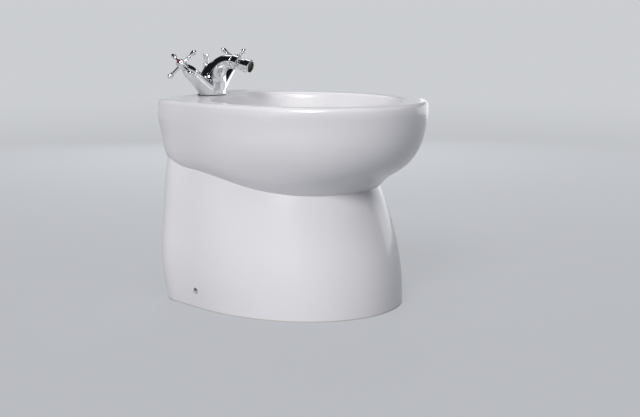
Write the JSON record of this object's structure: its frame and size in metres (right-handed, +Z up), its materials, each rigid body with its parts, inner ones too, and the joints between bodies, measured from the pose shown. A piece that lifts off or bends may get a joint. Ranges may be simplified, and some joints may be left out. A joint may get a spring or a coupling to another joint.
{
  "type": "floor-standing bidet",
  "caption": "Floor-standing bidet with a glazed china bowl, a cross-handle mixer tap with a swivel nozzle, and a pop-up waste worked by a lift rod.",
  "frame": {"origin": "on the floor, under the middle of the object's bounding box", "axes": "+Z up, -Y to the front of the bowl, +Y to the wall, -X to the hot side"},
  "size_m": [0.3999, 0.5078, 0.4942],
  "materials": {
    "china": "gloss",
    "chrome": "polished",
    "rubber": "matte",
    "brass": "machined",
    "steel": "brushed",
    "plastic": "matte"
  },
  "bodies": {
    "china": {"china_body": "china", "left_floor_bracket": "steel", "right_floor_bracket": "steel", "side_fixing_screws": "steel", "side_screw_washers": "plastic", "tap_body": "chrome", "tap_base_seal": "rubber", "tap_fixing_stud": "steel", "tap_backing_rubber": "rubber", "tap_backing_plate": "steel", "tap_fixing_nut": "brass", "spout_collar": "chrome", "ball_seal": "rubber", "hot_supply_tail": "steel", "cold_supply_tail": "steel", "hot_cartridge": "brass", "cold_cartridge": "brass", "hot_bonnet": "chrome", "cold_bonnet": "chrome", "waste_flange": "chrome", "flange_gasket": "rubber", "waste_washer": "rubber", "waste_locknut": "brass", "waste_outlet": "brass", "pivot_seal": "rubber", "pivot_nut": "chrome"},
    "hot_handle": {"hot_spindle": "brass", "hot_cross_handle": "chrome", "hot_handle_screw": "steel", "hot_index_cap": "chrome"},
    "cold_handle": {"cold_spindle": "brass", "cold_cross_handle": "chrome", "cold_handle_screw": "steel", "cold_index_cap": "chrome"},
    "ball": {"swivel_ball": "chrome"},
    "nozzle": {"nozzle_housing": "chrome", "aerator_insert": "plastic", "aerator_washer": "rubber"},
    "lift": {"lift_knob": "chrome", "lift_rod": "chrome", "rod_clamp": "chrome", "clamp_screw": "chrome", "lift_strap": "steel", "spring_clip": "steel"},
    "lever": {"pivot_rod": "chrome", "pivot_ball": "plastic"},
    "plug": {"waste_plug": "chrome", "plug_seal": "rubber"}
  },
  "joints": [
    {"name": "hot_valve", "type": "hinge", "parent": "china", "child": "hot_handle", "pos_m": [-0.09221, 0.20883, 0.46055], "axis": [-0.8413, 0.0441, 0.5388], "range_deg": [0, 90]},
    {"name": "cold_valve", "type": "hinge", "parent": "china", "child": "cold_handle", "pos_m": [0.09221, 0.20883, 0.46055], "axis": [-0.8413, -0.0441, -0.5388], "range_deg": [0, 90]},
    {"name": "nozzle_swing", "type": "hinge", "parent": "china", "child": "ball", "pos_m": [0, 0.14658, 0.46582], "axis": [0, 0, 1], "range_deg": [-12, 12]},
    {"name": "nozzle_tilt", "type": "hinge", "parent": "ball", "child": "nozzle", "pos_m": [0, 0.14658, 0.46582], "axis": [1, 0, 0], "range_deg": [-12, 15]},
    {"name": "lift_slide", "type": "slide", "parent": "china", "child": "lift", "axis": [0, 0, 1], "range_m": [0, 0.03]},
    {"name": "lever_turn", "type": "hinge", "parent": "china", "child": "lever", "pos_m": [0, 0.049, 0.156], "axis": [1, 0, 0], "range_deg": [0, 9.79]},
    {"name": "plug_slide", "type": "slide", "parent": "china", "child": "plug", "axis": [0, 0, -1], "range_m": [0, 0.00514]}
  ],
  "couplings": [
    {"joint": "lever_turn", "follows": "lift_slide", "rad_per_m": 5.6971},
    {"joint": "plug_slide", "follows": "lift_slide", "ratio": 0.17133}
  ]
}
